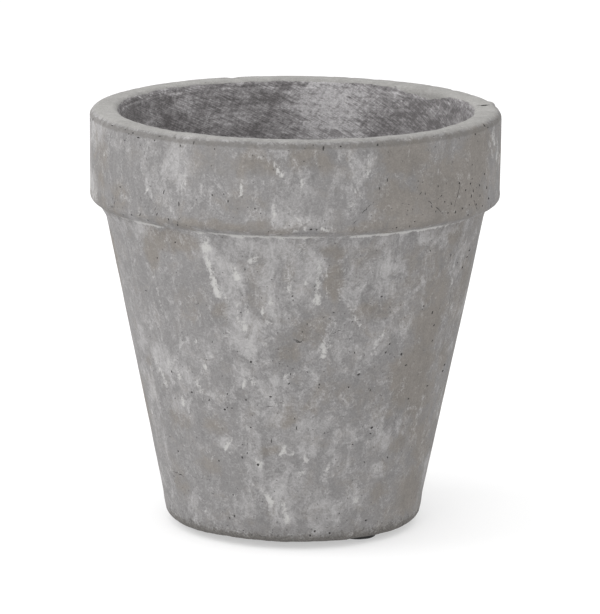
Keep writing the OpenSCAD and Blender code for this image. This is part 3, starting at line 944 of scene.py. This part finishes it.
def concrete_material():
    """Raw cast concrete: cool and warm greys under a chalky bloom that ran down, with fine pinholes, and some
    painted light and shade.
    """
    s = Shading("cast_concrete")
    broad = s.noise(40, 3, 0.5)
    cloud = s.noise(9, 6, 0.64, distortion=0.6)
    scumble = s.noise(2.4, 4, 0.70, distortion=1.0)
    grain = s.noise(0.8, 3, 0.70)
    wisp = s.noise(8, 9, 0.72, at=s.stretched((1, 1, 0.55)), distortion=0.9)
    streak = s.noise(3.4, 5, 0.6, at=s.stretched((1, 1, 0.14)))
    height = s.times(s.add("ShaderNodeSeparateXYZ", {0: s.place}, "Z"), 1 / MM)

    warmth = s.level(s.plus(s.attribute("warm"), s.times(cloud, 1.8)), 0.85, 1.6)
    colour = s.mix(warmth, COOL_GREY, WARM_GREY)
    # Painted top light: the rim's top is lighter, partly its own warmer, smoother grey.
    rim = s.attribute("rim")
    colour = s.mix(rim, colour, RIM_TONE_AND_TOP_LIGHT_GREY)
    shade = s.level(broad, 0.3, 0.7, 0.95, 1.05)
    for texture, swing in ((cloud, 0.07), (streak, 0.05), (scumble, 0.06), (grain, 0.11)):
        shade = s.plus(shade, s.level(texture, 0.3, 0.7, -swing, swing))
    colour = s.tint(colour, shade)

    ragged = s.total(-1.15, (wisp, 1), (scumble, 0.8), (grain, 0.5))
    soft = s.total(-0.875, (wisp, 1), (scumble, 0.5), (grain, 0.25))
    haze = s.total(0, (s.attribute("bloom"), 1.3), (s.attribute("warm"), -0.65), (soft, 3.8))
    haze = s.level(haze, -0.25, 1.4)
    haze = s.times(haze, s.level(rim, 0, 1, 1.0, 0.3))
    colour = s.mix(haze, colour, PALE_GREY)
    crust = s.level(s.total(0, (s.attribute("drip"), 1.3), (ragged, 2.2)), 0.35, 1.2)
    colour = s.mix(crust, colour, LIME_WHITE)
    # A pale line along the crease: lime, and partly a painted highlight.
    wobble = s.total(-CREASE_Z - 2.6, (height, 1), (wisp, 4.0))
    thin = s.level(s.math("ABSOLUTE", wobble), 1.2, 0.2)
    line = s.level(s.total(0, (s.attribute("crease"), thin), (ragged, 2)), 0.15, 1.15)
    colour = s.mix(s.times(line, 0.9), colour, LIME_WHITE)
    foot = s.level(s.total(-6, (height, 1), (scumble, 12)), BASE_Z + 6.8, BASE_Z + 2.6)
    foot_colour = s.tint(FOOT_GREY, s.level(grain, 0.3, 0.7, 0.6, 1.5))
    colour = s.mix(s.times(foot, 0.75), colour, foot_colour)
    # A dark gritty line round the rim's outer top edge: pits, and partly painted shade.
    from_edge = s.math("ABSOLUTE", s.total(0.6 - RIM_Z, (height, 1), (scumble, 4.0)))
    rim_edge_pits_and_shade = s.level(s.total(0, (from_edge, 1), (grain, -1.2)), 0.9, 0.1)
    colour = s.mix(s.times(s.times(rim_edge_pits_and_shade, s.attribute("edge")), 0.5), colour, FOOT_GREY)
    lining, *_ = coat_colour(s, s.attribute("worn"))
    colour = s.mix(s.level(s.total(0, (s.attribute("lip"), 1), (ragged, 1.5)), 0.3, 0.7), colour, lining)

    pinholes = s.dots(2.4, 0.42, 0.2)
    specks = s.dots(4.3, 0.45, 0.12)
    colour = s.mix(s.times(specks, 0.4), colour, LIME_WHITE)
    # Pinholes, and the pores and cracks cut into the casting, painted near black: dirt in them, and partly
    # painted shade in the hollows.
    colour = s.mix(s.times(pinholes, 0.7), colour, PORE_DIRT_AND_SHADE_GREY)
    colour = s.mix(s.times(s.attribute("pore"), 0.9), colour, PORE_DIRT_AND_SHADE_GREY)

    normal = s.bumps(s.noise(0.7, 3, 0.6), 0.08)
    normal = s.bumps(ragged, 0.30, normal)
    normal = s.bumps(crust, 0.05, normal)
    normal = s.bumps(s.times(pinholes, -1), 0.2, normal)
    rough = s.level(haze, 0, 1, 0.84, 0.95)
    return s.finish(Base_Color=colour, Roughness=rough, Specular_IOR_Level=0.35, Normal=normal)


def sealer_material():
    """The thin brushed coat: darker than the concrete and slightly satin."""
    s = Shading("brushed_sealer")
    colour, light, down_right, level = coat_colour(s, s.attribute("worn"))
    normal = s.bumps(down_right, 0.12)
    normal = s.bumps(level, 0.12, normal)
    normal = s.bumps(s.noise(1.5, 4, 0.65), 0.06, normal)
    rough = s.level(light, 0, 1, 0.62, 0.85)
    return s.finish(Base_Color=colour, Roughness=rough, Specular_IOR_Level=0.35, Normal=normal)


def rubber_material():
    """Black moulded rubber, dusty on its edge."""
    s = Shading("pad_rubber")
    grain = s.noise(0.5, 2, 0.6)
    dust = s.level(s.noise(4, 3, 0.6), 0.5, 0.8)
    colour = s.mix(s.times(dust, 0.5), (0.012, 0.012, 0.013, 1), (0.06, 0.058, 0.055, 1))
    rough = s.level(dust, 0, 1, 0.62, 0.85)
    return s.finish(Base_Color=colour, Roughness=rough, Normal=s.bumps(grain, 0.04))


def adhesive_material():
    """A milky film of adhesive with small trapped bubbles."""
    s = Shading("pad_adhesive")
    cloud = s.noise(2.5, 3, 0.6)
    colour = s.mix(cloud, (0.60, 0.57, 0.48, 1), (0.76, 0.74, 0.67, 1))
    bubbles = s.dots(0.9, 0.25, 0.3)
    rough = s.level(cloud, 0.3, 0.7, 0.3, 0.45)
    return s.finish(Base_Color=colour, Roughness=rough, Normal=s.bumps(bubbles, 0.03))


def dress(thing, material):
    thing.data.materials.clear()
    thing.data.materials.append(material)


# -------------------- floor, light and camera
def lay_floor():
    """A plain pale floor."""
    bpy.ops.mesh.primitive_circle_add(vertices=96, radius=5, fill_type="NGON")
    floor = bpy.context.object
    floor.name = "floor"
    s = Shading("floor")
    dress(floor, s.finish(Base_Color=(0.47, 0.47, 0.47, 1), Roughness=0.9, Specular_IOR_Level=0.2,
                          Emission_Color=(1, 1, 1, 1), Emission_Strength=0.45))


def softbox(name, azimuth, elevation, distance, size, watts):
    """A square area light that faces the pot's middle."""
    light = bpy.data.lights.new(name, "AREA")
    light.size = size
    light.energy = watts
    thing = bpy.data.objects.new(name, light)
    away = polar(azimuth, math.cos(math.radians(elevation)), math.sin(math.radians(elevation)))
    thing.location = Vector(away) * distance + Vector((0, 0, 0.1))
    thing.rotation_euler = Vector(away).to_track_quat("Z", "Y").to_euler()
    bpy.context.scene.collection.objects.link(thing)


def light_studio():
    world = bpy.data.worlds.new("studio")
    world.use_nodes = True
    background = world.node_tree.nodes["Background"]
    background.inputs["Color"].default_value = (1, 1, 1, 1)
    background.inputs["Strength"].default_value = 1.16
    bpy.context.scene.world = world
    softbox("left", -85, 30, 2.2, 1.6, 22.5)
    softbox("front", -10, 35, 2.2, 1.6, 12.5)
    softbox("top", 0, 85, 2.2, 1.8, 8)
    bpy.context.scene.view_settings.view_transform = "Standard"


LENS = 219.75
CAMERA_PLACE = (0.00278, -1.8, 0.5018)
LOOK_DOWN = 12.382
ROLL = 0.42


def aim_camera():
    """A long lens at the front, a little above the rim and looking down."""
    camera = bpy.data.objects.new("camera", bpy.data.cameras.new("camera"))
    camera.data.lens = LENS
    camera.data.sensor_width = 36
    camera.location = CAMERA_PLACE
    turn = Euler((math.radians(90 - LOOK_DOWN), 0, 0))
    turn.rotate_axis("Z", math.radians(ROLL))
    camera.rotation_euler = turn
    bpy.context.scene.collection.objects.link(camera)
    bpy.context.scene.camera = camera


# -------------------- the whole
aim_camera()
light_studio()
lay_floor()

pot = cast_pot()
dress(pot, concrete_material())
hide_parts("pot_casting")

coat = brush_coat()
dress(coat, sealer_material())
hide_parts("inner_sealer_coat")

rubber = rubber_material()
adhesive = adhesive_material()
pads = []
for number in (1, 2, 3):
    pad = foot_pad(f"foot_pad_{number}", number)
    dress(pad, rubber)
    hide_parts(f"foot_pad_{number}")
    pads.append(pad)
    dress(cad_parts[f"pad_adhesive_{number}"], adhesive)

for piece in (pot, coat, *pads):
    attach(piece, "root")
